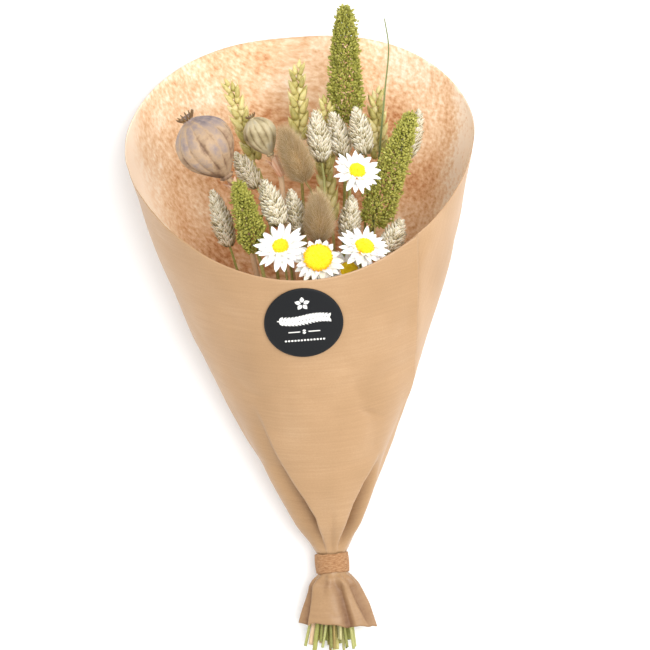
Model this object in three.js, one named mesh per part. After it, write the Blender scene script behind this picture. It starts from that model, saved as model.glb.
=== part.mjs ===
// Bunch of dried flowers in a kraft paper wrap, lying on its back.
//
// The tie sits at x = 0, y = 0. Stems run along Y, heads towards +Y and cut ends towards -Y,
// and the back wall of the wrap lies flat on z = 0. At the end the whole group is moved so that
// its origin is the middle of its footprint. All sizes are in millimetres.

import * as THREE from 'three';

// ---- Paper wrap -------------------------------------------------------------------------
const frontRimFromTie = 189; // from the tie to the low point of the front rim
const backRimFromTie = 357; // from the tie to the top of the back wall
const mouthHalfWidth = 114; // half the width of the cone at coneLength
const coneLength = 270; // where the cone reaches mouthHalfWidth
const coneFullness = 0.4; // how far the sides bow outwards between tie and mouth
const lastFlare = 4; // the sides open by this much more, at most, beyond coneLength
const frontRise = 0.575; // rise of the front wall for each millimetre away from the tie
const paper = 0.8; // wall of the wrap
const bellyShare = 0.42; // height of the widest place, as a share of the section's height
const flatness = 1.06; // how far the underside is pressed flat by the table
const backSquareness = 2.7; // squareness of the lower half of a section, 2 is an ellipse
const pleatCount = 9;
const pleatDepth = 1.5;
const pleatPeak = 34; // where the gathered folds are deepest
const pleatReach = 130; // where they have run out
const rimSideLift = 15; // the rim stands this much further out at the two sides
const rimShoulder = 8; // and this much further in between the sides and the back
const skirtLength = 42; // paper below the tie
const skirtHalfWidth = 24.5;
const skirtHalfHeight = 10.5;
const skirtFlap = 6; // the rounded flap on one side hangs this much lower

// ---- Tie and label ----------------------------------------------------------------------
const tieWidth = 13.2;
const tieThickness = 1.4;
const labelDiameter = 50;
const labelThickness = 0.4;
const labelFromTie = 163;
const labelAside = -6;

// ---- Fits -------------------------------------------------------------------------------
const touch = 0.3; // gap kept between faces that touch
const stemGap = 0.45; // least space left between two stalks
const wallGap = 1.1; // least space between a stalk and the paper
const bundlePacking = 0.69; // share of the tied section that is filled with stems
const tieLift = 2.0; // from the table to the underside of the tie

// ---- Cut ends ---------------------------------------------------------------------------
const stemTail = 55; // length of stem below the tie
const tailStagger = 4; // the cut ends differ by up to this much either way
const tailSpread = 2.1; // the stems fan out sideways by this ratio
const tailAside = -6;

// ---- Stalks -----------------------------------------------------------------------------
// For each kind: radius of the stem, and the radius and length of the head where they are shared.
const kinds = {
  foxtail: { stem: 1.5, stemColour: 0x9a9a58, headColour: 0x9a9a48, roughness: 0.9 },
  wheat: { stem: 1.3, stemColour: 0xa9a45e, headColour: 0xb9b56c, roughness: 0.8 },
  poppy: { stem: 1.9, stemColour: 0xb08a62, headColour: 0x9c867c, roughness: 0.75 },
  bunny_tail: { stem: 0.9, stemColour: 0xb39a66, headColour: 0xc4a67c, roughness: 1.0 },
  canary_grass: { stem: 1.0, stemColour: 0xb2ad72, headColour: 0xe2dcc2, roughness: 0.85 },
  daisy: { stem: 0.95, stemColour: 0x8d8a4c, headColour: 0xf4f1e8, roughness: 0.7 },
};

// Each stalk: tip of the head, the way the head points, its length and its largest radius.
const stalks = [
  { name: 'foxtail_1', kind: 'foxtail', tip: [35, 367, 72], lean: [5, 77, 12], length: 78, radius: 9.4 },
  { name: 'foxtail_2', kind: 'foxtail', tip: [73, 292, 95], lean: [30, 69, 20], length: 78, radius: 9 },
  { name: 'foxtail_3', kind: 'foxtail', tip: [-41, 254, 118], lean: [-8, 40, 17], length: 48, radius: 7 },
  { name: 'wheat_1', kind: 'wheat', tip: [-45, 330, 61], lean: [-16, 63, 9], length: 66, radius: 5.2 },
  { name: 'wheat_2', kind: 'wheat', tip: [2, 340, 50], lean: [2, 54, 6], length: 62, radius: 4.8 },
  { name: 'wheat_3', kind: 'wheat', tip: [21, 316, 62], lean: [5, 51, 8], length: 60, radius: 4.8 },
  { name: 'wheat_4', kind: 'wheat', tip: [53, 322, 48], lean: [2, 52, 5], length: 56, radius: 4.8 },
  { name: 'wheat_5', kind: 'wheat', tip: [14, 274, 72], lean: [-2, 42, 9], length: 52, radius: 4.8 },
  { name: 'poppy_1', kind: 'poppy', tip: [-72, 300, 108], lean: [-24, 41, 14], length: 50, radius: 17.4 },
  { name: 'poppy_2', kind: 'poppy', tip: [-31, 299, 89], lean: [-11, 25, 6], length: 30, radius: 9.8 },
  { name: 'bunny_tail_1', kind: 'bunny_tail', tip: [-11, 289, 104], lean: [-13, 38, 12], length: 40, radius: 10.5 },
  { name: 'bunny_tail_2', kind: 'bunny_tail', tip: [9, 245, 108], lean: [1, 30, 12], length: 34, radius: 9.6 },
  { name: 'bunny_tail_3', kind: 'bunny_tail', tip: [5, 201, 100], lean: [0, 17, 7], length: 30, radius: 9 },
  { name: 'canary_grass_1', kind: 'canary_grass', tip: [-25, 256, 118], lean: [-9, 31, 13], length: 35, radius: 8.6 },
  { name: 'canary_grass_2', kind: 'canary_grass', tip: [-8, 249, 98], lean: [-4, 28, 10], length: 32, radius: 7.2 },
  { name: 'canary_grass_3', kind: 'canary_grass', tip: [11, 300, 89], lean: [-2, 35, 9], length: 36, radius: 8.6 },
  { name: 'canary_grass_4', kind: 'canary_grass', tip: [22, 299, 71], lean: [-6, 31, 6], length: 32, radius: 8.6 },
  { name: 'canary_grass_5', kind: 'canary_grass', tip: [37, 300, 84], lean: [-5, 33, 7], length: 33, radius: 8 },
  { name: 'canary_grass_6', kind: 'canary_grass', tip: [80, 297, 66], lean: [13, 34, 6], length: 36, radius: 7.6 },
  { name: 'canary_grass_7', kind: 'canary_grass', tip: [31, 242, 97], lean: [5, 28, 10], length: 32, radius: 7.6 },
  { name: 'canary_grass_8', kind: 'canary_grass', tip: [61, 224, 112], lean: [13, 24, 11], length: 30, radius: 8.8 },
  { name: 'canary_grass_9', kind: 'canary_grass', tip: [-59, 255, 90], lean: [-9, 40, 12], length: 42, radius: 7.2 },
  { name: 'canary_grass_10', kind: 'canary_grass', tip: [-43, 277, 68], lean: [-11, 21, 5], length: 28, radius: 7 },
  { name: 'daisy_1', kind: 'daisy', tip: [36, 256, 106], lean: [0.35, 0.25, 0.9], length: 7.5, radius: 14.2 },
  { name: 'daisy_2', kind: 'daisy', tip: [-17, 212, 114], lean: [-0.1, 0.3, 0.95], length: 7.5, radius: 15.5 },
  { name: 'daisy_3', kind: 'daisy', tip: [6, 201, 128], lean: [0, 0.12, 0.99], length: 9, radius: 14.5 },
  { name: 'daisy_4', kind: 'daisy', tip: [37, 206, 112], lean: [0.35, 0.25, 0.9], length: 7.5, radius: 15 },
  { name: 'daisy_5', kind: 'daisy', tip: [25, 193, 103], lean: [0.1, 0.2, 0.95], length: 7.5, radius: 13.5 },
];
const bladeTip = [61, 357, 64];
const stalkRise = 0.575; // the front wall's rise for which these tips were set
const bladeRadius = 0.7;

// ---- Values that follow from those above ---------------------------------------------------
const stemRadii = stalks.map((stalk) => kinds[stalk.kind].stem).concat([bladeRadius]);
const stemSection = stemRadii.reduce((sum, r) => sum + (r + stemGap / 2) ** 2, 0);
const bundleRadius = Math.sqrt(stemSection / bundlePacking);
const neckInner = bundleRadius + stemGap;
const neckOuter = neckInner + paper;
const tieInner = neckOuter + touch;
const tieOuter = tieInner + tieThickness;
const tieHeight = tieLift + tieOuter;
const neckHalfLength = tieWidth / 2 + 0.6;

const riseRatio = frontRise / stalkRise;

const clamp = THREE.MathUtils.clamp;
const smooth = (value, from, to) => THREE.MathUtils.smoothstep(value, from, to);

// Half width, top and underside of the wrap's outer face at a distance y from the tie.
function wrapSection(y) {
  if (y >= -neckHalfLength) {
    const t = Math.max(0, (y - neckHalfLength) / (coneLength - neckHalfLength));
    const near = Math.min(t, 1);
    const flare = near + coneFullness * near * (1 - near);
    const beyond = 1 - Math.exp(-Math.max(0, y - coneLength) / (4 * lastFlare));
    const half = neckOuter + (mouthHalfWidth - neckOuter) * flare + lastFlare * beyond;
    const away = Math.max(0, y - neckHalfLength);
    const top = tieHeight + neckOuter + frontRise * away;
    const bottom = (tieHeight - neckOuter) * (1 - smooth(y, neckHalfLength, 40));
    const share = 0.5 + (bellyShare - 0.5) * smooth(y, neckHalfLength, 60);
    return { half, top, bottom, middle: bottom + (top - bottom) * share, back: smooth(y, 10, 90) };
  }
  const t = clamp((-neckHalfLength - y) / (skirtLength - neckHalfLength), 0, 1.3);
  const open = t * (1.45 - 0.45 * t);
  const half = neckOuter + (skirtHalfWidth - neckOuter) * open;
  const tall = neckOuter + (skirtHalfHeight - neckOuter) * t;
  return { half, top: tieHeight + tall, bottom: tieHeight - tall, middle: tieHeight, back: 0 };
}

// A point of the outer face: angle 0 is the right side, a quarter turn is the front.
function wrapFace(angle, y) {
  const s = wrapSection(y);
  const c = Math.cos(angle);
  const n = Math.sin(angle);
  const lower = n < 0;
  const power = lower ? 2 / (2 + (backSquareness - 2) * s.back) : 1;
  const press = lower ? 1 + (flatness - 1) * s.back : 1;
  const tall = (lower ? s.middle - s.bottom : s.top - s.middle) * press;
  const rise = smooth(y, neckHalfLength, pleatPeak);
  const pleat = pleatDepth * rise * (1 - smooth(y, pleatPeak, pleatReach));
  const fold = 1 + (pleat * (Math.cos(pleatCount * angle + 0.6) - 1)) / s.half;
  const x = s.half * fold * Math.sign(c) * Math.abs(c) ** power;
  const z = s.middle + tall * fold * Math.sign(n) * Math.abs(n) ** power;
  return new THREE.Vector3(x, y, Math.max(z, 0));
}

// The rim is a slanting cut: high on the back wall, low on the front wall.
const frontRimHeight = wrapSection(frontRimFromTie).top;
const rimSlope = (backRimFromTie - frontRimFromTie) / frontRimHeight;

function rimDistance(angle) {
  const side = Math.abs(Math.cos(angle));
  const lower = Math.sin(angle) < 0;
  const lift = rimSideLift * side ** (lower ? 10 : 2.5) - (lower ? rimShoulder * Math.sin(2 * angle) ** 2 : 0);
  let y = frontRimFromTie;
  for (let i = 0; i < 40; i += 1) {
    y += 0.5 * (backRimFromTie + lift - rimSlope * wrapFace(angle, y).z - y);
  }
  return y;
}

function skirtEnd(angle) {
  const flap = Math.max(0, Math.cos(angle - 0.35));
  return -(skirtLength - 5 + skirtFlap * flap ** 2 + 3 * Math.sin(angle));
}

// Same point moved inwards along the face normal by depth.
function wrapPoint(angle, y, depth) {
  const here = wrapFace(angle, y);
  if (depth === 0) {
    return here;
  }
  const around = wrapFace(angle + 0.02, y).sub(wrapFace(angle - 0.02, y));
  const along = wrapFace(angle, y + 0.5).sub(wrapFace(angle, y - 0.5));
  const inward = new THREE.Vector3().crossVectors(along, around).normalize();
  const middle = new THREE.Vector3(0, y, wrapSection(y).middle);
  if (inward.dot(middle.sub(here)) < 0) {
    inward.negate();
  }
  here.addScaledVector(inward, depth);
  here.z = Math.max(here.z, depth);
  return here;
}

function paint(colour, roughness, metalness = 0) {
  return new THREE.MeshStandardMaterial({ color: colour, roughness, metalness });
}

const bunch = new THREE.Group();

function addPiece(name, geometry, material) {
  const piece = new THREE.Mesh(geometry, material);
  piece.name = name;
  bunch.add(piece);
  return piece;
}

// A closed shell turned about an axis and then laid over the wrap's face: the profile's height
// counts rows from the skirt's edge to the rim, and its radius tells the two faces apart.
function wrapGeometry() {
  const skirtRows = 4;
  const coneRows = 13;
  const rows = skirtRows + 2 + coneRows;
  const profile = [];
  for (let row = 0; row <= rows; row += 1) {
    profile.push(new THREE.Vector2(2, row));
  }
  for (let row = rows; row >= 0; row -= 1) {
    profile.push(new THREE.Vector2(1, row));
  }
  profile.push(new THREE.Vector2(2, 0));
  const geometry = new THREE.LatheGeometry(profile, 36);
  const place = geometry.getAttribute('position');
  for (let i = 0; i < place.count; i += 1) {
    const row = Math.round(place.getY(i));
    const angle = Math.atan2(place.getZ(i), place.getX(i));
    const depth = Math.hypot(place.getX(i), place.getZ(i)) > 1.5 ? 0 : paper;
    let y = 0;
    if (row < skirtRows) {
      const share = 1 - row / skirtRows;
      y = -neckHalfLength + share * (skirtEnd(angle) + neckHalfLength);
    } else if (row <= skirtRows + 1) {
      y = row === skirtRows ? -neckHalfLength : neckHalfLength;
    } else {
      const share = ((row - skirtRows - 1) / (rows - skirtRows - 1)) ** 1.25;
      y = neckHalfLength + share * (rimDistance(angle) - neckHalfLength);
    }
    const point = wrapPoint(angle, y, depth);
    place.setXYZ(i, point.x, point.y, point.z);
  }
  return geometry;
}

function tieGeometry() {
  const profile = [
    new THREE.Vector2(tieOuter, -tieWidth / 2),
    new THREE.Vector2(tieOuter, tieWidth / 2),
    new THREE.Vector2(tieInner, tieWidth / 2),
    new THREE.Vector2(tieInner, -tieWidth / 2),
    new THREE.Vector2(tieOuter, -tieWidth / 2),
  ];
  return new THREE.LatheGeometry(profile, 32);
}

// Height of the front wall's outer face above a point of the table.
function frontWallHeight(x, y) {
  const s = wrapSection(y);
  const share = clamp(1 - (x / s.half) ** 2, 0, 1);
  return s.middle + (s.top - s.middle) * Math.sqrt(share);
}

// A round sticker that follows the curve of the front wall.
function labelGeometry() {
  const r = labelDiameter / 2;
  const profile = [new THREE.Vector2(0, 0)];
  for (const share of [0.35, 0.7, 1]) {
    profile.push(new THREE.Vector2(r * share, 0));
  }
  for (const share of [1, 0.7, 0.35]) {
    profile.push(new THREE.Vector2(r * share, labelThickness));
  }
  profile.push(new THREE.Vector2(0, labelThickness));
  const geometry = new THREE.LatheGeometry(profile, 28);
  const place = geometry.getAttribute('position');
  const slope = Math.atan(frontRise);
  for (let i = 0; i < place.count; i += 1) {
    const x = labelAside + place.getX(i);
    const y = labelFromTie - place.getZ(i) * Math.cos(slope);
    const step = 0.5;
    const away = new THREE.Vector3(
      frontWallHeight(x - step, y) - frontWallHeight(x + step, y),
      frontWallHeight(x, y - step) - frontWallHeight(x, y + step),
      2 * step,
    ).normalize();
    const point = new THREE.Vector3(x, y, frontWallHeight(x, y));
    point.addScaledVector(away, touch + place.getY(i));
    place.setXYZ(i, point.x, point.y, point.z);
  }
  return geometry;
}

// ---- Heads ------------------------------------------------------------------------------
// Share of the largest radius at a share t of the length, from the neck of the head to its tip.
const outlines = {
  foxtail: (t) => Math.min(1, 0.35 + 5 * t) * (1 - 0.45 * t) * Math.sqrt(Math.max(0, 1 - t ** 8)),
  wheat: (t) => Math.min(1, 0.45 + 3 * t) * (1 - 0.5 * t ** 3) * Math.sqrt(Math.max(0, 1 - t ** 10)),
  bunny_tail: (t) => Math.sin(Math.PI * clamp(0.06 + 0.94 * t, 0, 1) ** 0.8) ** 0.6,
  canary_grass: (t) => Math.sin(Math.PI * clamp(0.05 + 0.95 * t, 0, 1) ** 0.75) ** 0.72,
};
const ridges = { foxtail: 0.07, wheat: 0.26, bunny_tail: 0, canary_grass: 0.09 };
const rowsOf = { foxtail: 14, wheat: 18, bunny_tail: 8, canary_grass: 10 };
const sidesOf = { foxtail: 10, wheat: 6, bunny_tail: 10, canary_grass: 8 };
const poppyNeck = 0.11;

// Ears and tails: a spindle with rows of scales or spikelets standing out from it.
function spikeGeometry(stalk) {
  const outline = outlines[stalk.kind];
  const rows = rowsOf[stalk.kind];
  const profile = [new THREE.Vector2(0, 0)];
  for (let row = 0; row < rows; row += 1) {
    const t = row / rows;
    const ridge = row % 2 === 0 ? 1 - ridges[stalk.kind] : 1;
    profile.push(new THREE.Vector2(stalk.radius * ridge * outline(t), stalk.length * t));
  }
  profile.push(new THREE.Vector2(0, stalk.length));
  const geometry = new THREE.LatheGeometry(profile, sidesOf[stalk.kind]);
  if (stalk.kind === 'wheat') {
    geometry.scale(1, 1, 0.8);
  }
  return geometry;
}

function poppyOutline(t) {
  if (t < poppyNeck) {
    return 0.13 + 0.35 * t;
  }
  const swell = (t - poppyNeck) / (0.86 - poppyNeck);
  return 0.17 + 0.83 * Math.sin(Math.PI * clamp(swell, 0, 1) ** 0.92) ** 0.62;
}

// Seed capsule: a short neck, a round ribbed pod and a flat scalloped crown.
function poppyGeometry(stalk) {
  const profile = [new THREE.Vector2(0, 0)];
  for (const t of [0, 0.08, 0.14, 0.2, 0.3, 0.42, 0.54, 0.66, 0.76, 0.82]) {
    profile.push(new THREE.Vector2(stalk.radius * poppyOutline(t), stalk.length * t));
  }
  profile.push(new THREE.Vector2(stalk.radius * 0.34, stalk.length * 0.88));
  profile.push(new THREE.Vector2(stalk.radius * 0.46, stalk.length * 0.93));
  profile.push(new THREE.Vector2(stalk.radius * 0.46, stalk.length * 0.97));
  profile.push(new THREE.Vector2(0, stalk.length));
  const sides = 20;
  const geometry = new THREE.LatheGeometry(profile, sides);
  const place = geometry.getAttribute('position');
  for (let i = 0; i < place.count; i += 1) {
    const turn = Math.round((Math.atan2(place.getX(i), place.getZ(i)) * sides) / (2 * Math.PI));
    const crown = place.getY(i) > stalk.length * 0.9;
    const rib = turn % 2 === 0 ? 1 : 1 - (crown ? 0.16 : 0.05);
    place.setX(i, place.getX(i) * rib);
    place.setZ(i, place.getZ(i) * rib);
  }
  return geometry;
}

// Everlasting daisy: a small cup, a ring of pointed papery petals and a domed centre.
function daisyGeometry(stalk) {
  const r = stalk.radius;
  const h = stalk.length;
  const profile = [
    new THREE.Vector2(0, 0),
    new THREE.Vector2(1.6, 0),
    new THREE.Vector2(0.3 * r, 0.2 * h),
    new THREE.Vector2(0.7 * r, 0.36 * h),
    new THREE.Vector2(r, 0.5 * h),
    new THREE.Vector2(r, 0.58 * h),
    new THREE.Vector2(0.68 * r, 0.5 * h),
    new THREE.Vector2(0.4 * r, 0.56 * h),
    new THREE.Vector2(0.36 * r, 0.84 * h),
    new THREE.Vector2(0, h),
  ];
  const sides = 26;
  const geometry = new THREE.LatheGeometry(profile, sides);
  const place = geometry.getAttribute('position');
  for (let i = 0; i < place.count; i += 1) {
    const turn = Math.round((Math.atan2(place.getX(i), place.getZ(i)) * sides) / (2 * Math.PI));
    const rim = Math.hypot(place.getX(i), place.getZ(i)) > 0.95 * r;
    const cut = rim && turn % 2 !== 0 ? 0.76 : 1;
    place.setX(i, place.getX(i) * cut);
    place.setZ(i, place.getZ(i) * cut);
  }
  return geometry;
}

function headGeometry(stalk) {
  if (stalk.kind === 'poppy') {
    return poppyGeometry(stalk);
  }
  return stalk.kind === 'daisy' ? daisyGeometry(stalk) : spikeGeometry(stalk);
}

// Round-ended rods that together cover a head, along its own axis from neck to tip.
function headRods(stalk) {
  const rods = [];
  if (stalk.kind === 'daisy') {
    const reach = stalk.radius - 2.2;
    rods.push({ from: [0, 0.45, 0], to: [0, 0.5, 0], thick: 0.4 * stalk.radius });
    for (let i = 0; i < 10; i += 1) {
      const a = (2 * Math.PI * i) / 10;
      const spread = [Math.sin(a) / stalk.length, Math.cos(a) / stalk.length];
      const near = [4 * spread[0], 0.42, 4 * spread[1]];
      const far = [reach * spread[0], 0.54, reach * spread[1]];
      rods.push({ from: near, to: far, thick: 2.2 });
    }
    return rods;
  }
  const parts = 6;
  const share = stalk.kind === 'poppy' ? poppyOutline : outlines[stalk.kind];
  for (let i = 0; i < parts; i += 1) {
    const from = i / parts;
    const to = (i + 1) / parts;
    const thick = stalk.radius * Math.max(share(from), share((from + to) / 2), i < parts - 1 ? share(to) : 0);
    rods.push({ from: [0, from, 0], to: [0, i < parts - 1 ? to : to - 0.06, 0], thick });
  }
  return rods;
}

// ---- Settling ---------------------------------------------------------------------------
// Each stalk is a chain of points from its cut end, through the tie, to the neck of its head.
// The chains are pushed apart until no two touch, held inside the paper and kept smooth.
const neckLevel = neckHalfLength + 1;
const openLevels = [26, 46, 70, 100, 135, 170, 205, 240, 275, 310];
const levels = [-stemTail, -stemTail / 2 - neckLevel / 2, -neckLevel, neckLevel, ...openLevels];

function leanOf(stalk) {
  return new THREE.Vector3(...stalk.lean).normalize();
}

// A head stands higher or lower with the front wall, so that it keeps its place behind the rim.
function tipOf(stalk) {
  const [x, y, z] = stalk.tip;
  return new THREE.Vector3(x, y, z * riseRatio);
}

function makeChain(stalk, index) {
  const radius = kinds[stalk.kind].stem;
  const way = leanOf(stalk);
  const head = tipOf(stalk).addScaledVector(way, -stalk.length - touch);
  const turn = new THREE.Quaternion().setFromUnitVectors(new THREE.Vector3(0, 1, 0), way);
  const rods = headRods(stalk).map((rod) => ({
    from: new THREE.Vector3(...rod.from).multiplyScalar(stalk.length).applyQuaternion(turn),
    to: new THREE.Vector3(...rod.to).multiplyScalar(stalk.length).applyQuaternion(turn),
    thick: rod.thick,
  }));
  const lead = stalk.kind === 'daisy' ? 7 : 12;
  return { index, radius, way, lead, turn, rods, target: head.clone(), points: startPoints(head, way, lead, index) };
}

function startPoints(head, way, lead, index) {
  const side = head.x / head.y;
  const up = (head.z - tieHeight) / head.y - 0.29;
  const slot = new THREE.Vector3(side * 22, 0, tieHeight + up * 34);
  const points = [];
  for (const level of levels.filter((y) => y < head.y - lead - 9)) {
    const t = Math.max(0, level / head.y);
    const bend = t * (1 + 0.35 * (1 - t));
    const x = slot.x + (head.x - slot.x) * bend;
    const z = slot.z + (head.z - slot.z) * bend;
    const fan = Math.max(0, -level / stemTail);
    points.push(new THREE.Vector3(x * (1 + tailSpread * fan) + tailAside * fan, level, z));
  }
  const stagger = tailStagger * Math.sin(index * 2.4);
  points[0].y = -stemTail + stagger;
  points.push(head.clone().addScaledVector(way, -lead));
  points.push(head.clone());
  return points;
}

// Shortest vector from one segment to another, with the places on both.
function nearest(a, b, c, d) {
  const u = b.clone().sub(a);
  const v = d.clone().sub(c);
  const w = a.clone().sub(c);
  const uu = u.dot(u);
  const uv = u.dot(v);
  const vv = v.dot(v);
  const uw = u.dot(w);
  const vw = v.dot(w);
  const across = uu * vv - uv * uv;
  let s = across > 1e-9 ? clamp((uv * vw - vv * uw) / across, 0, 1) : 0;
  let t = vv > 1e-9 ? clamp((uv * s + vw) / vv, 0, 1) : 0;
  s = uu > 1e-9 ? clamp((uv * t - uw) / uu, 0, 1) : 0;
  t = vv > 1e-9 ? clamp((uv * s + vw) / vv, 0, 1) : t;
  const gap = c.clone().addScaledVector(v, t).sub(a).addScaledVector(u, -s);
  return { s, t, gap };
}

// Every rod of a chain: stem segments first, then the head's own rods.
function rodsOf(chain) {
  const list = [];
  const last = chain.points.length - 1;
  for (let i = 0; i < last; i += 1) {
    list.push({ chain, at: i, a: chain.points[i], b: chain.points[i + 1], thick: chain.radius });
  }
  for (const rod of chain.rods) {
    const a = chain.points[last].clone().add(rod.from);
    const b = chain.points[last].clone().add(rod.to);
    list.push({ chain, at: -1, a, b, thick: rod.thick });
  }
  return list;
}

function push(rod, share, move) {
  const points = rod.chain.points;
  if (rod.at < 0) {
    rod.a.add(move);
    rod.b.add(move);
    points[points.length - 1].add(move);
    points[points.length - 2].add(move);
    return;
  }
  const near = (1 - share) * 1.3;
  const far = share * 1.3;
  points[rod.at].x += move.x * near;
  points[rod.at].z += move.z * near;
  points[rod.at + 1].x += move.x * far;
  points[rod.at + 1].z += move.z * far;
}

function separate(rods, strength) {
  let worst = 0;
  for (let i = 0; i < rods.length; i += 1) {
    const one = rods[i];
    const low = Math.min(one.a.y, one.b.y) - one.thick;
    const high = Math.max(one.a.y, one.b.y) + one.thick;
    for (let j = i + 1; j < rods.length; j += 1) {
      const two = rods[j];
      const need = one.thick + two.thick + stemGap;
      const passes = two.chain === one.chain || Math.min(two.a.y, two.b.y) - two.thick - stemGap > high
        || Math.max(two.a.y, two.b.y) + two.thick + stemGap < low
        || Math.min(two.a.x, two.b.x) - need > Math.max(one.a.x, one.b.x)
        || Math.max(two.a.x, two.b.x) + need < Math.min(one.a.x, one.b.x);
      if (passes) {
        continue;
      }
      const { s, t, gap } = nearest(one.a, one.b, two.a, two.b);
      const distance = gap.length();
      if (distance < need) {
        worst = Math.max(worst, need - distance);
        const way = distance > 1e-6 ? gap.multiplyScalar(1 / distance) : new THREE.Vector3(0, 0, 1);
        const heavy = one.at < 0 && two.at >= 0 ? 0.1 : 0.5;
        const light = one.at >= 0 && two.at < 0 ? 0.9 : 1 - heavy;
        const amount = (need - distance) * strength;
        push(two, t, way.clone().multiplyScalar(amount * (one.at >= 0 && two.at < 0 ? 0.1 : 1 - heavy)));
        push(one, s, way.multiplyScalar(-amount * (one.at >= 0 && two.at < 0 ? light : heavy)));
      }
    }
  }
  return worst;
}

// Pulls a point that is nearer than its margin to the paper back towards the middle.
function holdInside(point, margin) {
  const s = wrapSection(point.y);
  if (point.y > backRimFromTie - rimSlope * point.z + 4) {
    const floor = paper + margin;
    point.z = Math.max(point.z, floor);
    return;
  }
  const rise = smooth(point.y, neckHalfLength, pleatPeak);
  const pleat = 2 * pleatDepth * rise * (1 - smooth(point.y, pleatPeak, pleatReach));
  const inside = paper + margin + pleat;
  const wide = Math.max(0.5, s.half - inside);
  const up = point.z > s.middle;
  const tall = Math.max(0.5, (up ? s.top - s.middle : s.middle - s.bottom) - inside);
  const reach = Math.hypot(point.x / wide, (point.z - s.middle) / tall);
  if (reach > 1) {
    point.x /= reach;
    point.z = s.middle + (point.z - s.middle) / reach;
  }
}

function smoothChain(chain, strength) {
  const p = chain.points;
  const last = p.length - 1;
  for (let i = 1; i < last - 1; i += 1) {
    const span = (p[i].y - p[i - 1].y) / (p[i + 1].y - p[i - 1].y);
    const x = p[i - 1].x + (p[i + 1].x - p[i - 1].x) * span;
    const z = p[i - 1].z + (p[i + 1].z - p[i - 1].z) * span;
    p[i].x += (x - p[i].x) * strength;
    p[i].z += (z - p[i].z) * strength;
  }
  p[last].x += (chain.target.x - p[last].x) * 0.12;
  p[last].y += (chain.target.y - p[last].y) * 0.12;
  p[last].z += (chain.target.z - p[last].z) * 0.01;
  p[last - 1].copy(p[last]).addScaledVector(chain.way, -chain.lead);
}

function holdChain(chain) {
  for (const point of chain.points) {
    const neck = Math.abs(point.y) < neckLevel + 0.5;
    if (neck) {
      const free = neckInner - chain.radius;
      const off = Math.hypot(point.x, point.z - tieHeight);
      const share = Math.min(1, free / Math.max(off, 1e-6));
      point.x *= share;
      point.z = tieHeight + (point.z - tieHeight) * share;
    } else {
      holdInside(point, chain.radius + wallGap);
    }
  }
  const head = chain.points[chain.points.length - 1];
  for (const rod of chain.rods) {
    const place = head.clone().add(rod.to);
    const held = place.clone();
    holdInside(held, rod.thick + wallGap);
    const move = held.sub(place);
    head.add(move);
    chain.points[chain.points.length - 2].add(move);
  }
}

function settle(chains) {
  const rounds = 900;
  for (let round = 0; round < rounds; round += 1) {
    const calm = round / rounds;
    for (const chain of chains) {
      smoothChain(chain, 0.3 * (1 - calm) ** 2);
      holdChain(chain);
    }
    const worst = separate(chains.flatMap(rodsOf), 0.55);
    if (calm > 0.5 && worst < 0.02) {
      break;
    }
  }
}

const bladeStalk = { name: 'grass_blade', tip: bladeTip, lean: [-4, 61, 8], length: 0.1 };

function makeBlade(index) {
  const way = leanOf(bladeStalk);
  const head = tipOf(bladeStalk);
  const points = startPoints(head, way, 20, index);
  return { index, radius: bladeRadius, way, lead: 20, turn: null, rods: [], target: head.clone(), points };
}

const chains = stalks.map(makeChain);
const blade = makeBlade(stalks.length);
settle(chains.concat([blade]));

// ---- Stems ------------------------------------------------------------------------------
// A smooth curve that is stepped from point to point of its chain.
class StemPath extends THREE.CatmullRomCurve3 {
  getUtoTmapping(u) {
    return u;
  }
}

function stemGeometry(points, radius) {
  const shape = new THREE.Shape();
  const sides = 6;
  for (let i = 0; i < sides; i += 1) {
    const a = (2 * Math.PI * i) / sides;
    if (i === 0) {
      shape.moveTo(radius, 0);
    } else {
      shape.lineTo(radius * Math.cos(a), radius * Math.sin(a));
    }
  }
  shape.closePath();
  const path = new StemPath(points, false, 'centripetal');
  const steps = points.length - 1;
  return new THREE.ExtrudeGeometry(shape, { steps, bevelEnabled: false, extrudePath: path });
}

const wrap = addPiece('paper_wrap', wrapGeometry(), paint(0xcda777, 0.8));
const tie = addPiece('tie_band', tieGeometry(), paint(0xb98a5e, 0.9));
tie.position.set(0, 0, tieHeight);
addPiece('round_label', labelGeometry(), paint(0x17191c, 0.55));

chains.forEach((chain, i) => {
  const stalk = stalks[i];
  const kind = kinds[stalk.kind];
  addPiece(`${stalk.name}_stem`, stemGeometry(chain.points, chain.radius), paint(kind.stemColour, 0.8));
  const head = addPiece(`${stalk.name}_head`, headGeometry(stalk), paint(kind.headColour, kind.roughness));
  const end = chain.points[chain.points.length - 1];
  head.quaternion.copy(chain.turn);
  head.position.copy(end).addScaledVector(chain.way, touch);
});
addPiece('grass_blade', stemGeometry(blade.points, bladeRadius), paint(0x6f7a3c, 0.8));

// ---- Origin: the middle of the footprint, on the table ---------------------------------------
bunch.updateMatrixWorld(true);
const box = new THREE.Box3().setFromObject(bunch, true);
const middle = box.getCenter(new THREE.Vector3());
bunch.position.set(-middle.x, -middle.y, -box.min.z);
bunch.updateMatrixWorld(true);

export default bunch;
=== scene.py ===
import math

import bpy
import numpy as np
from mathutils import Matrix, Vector, noise


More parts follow.
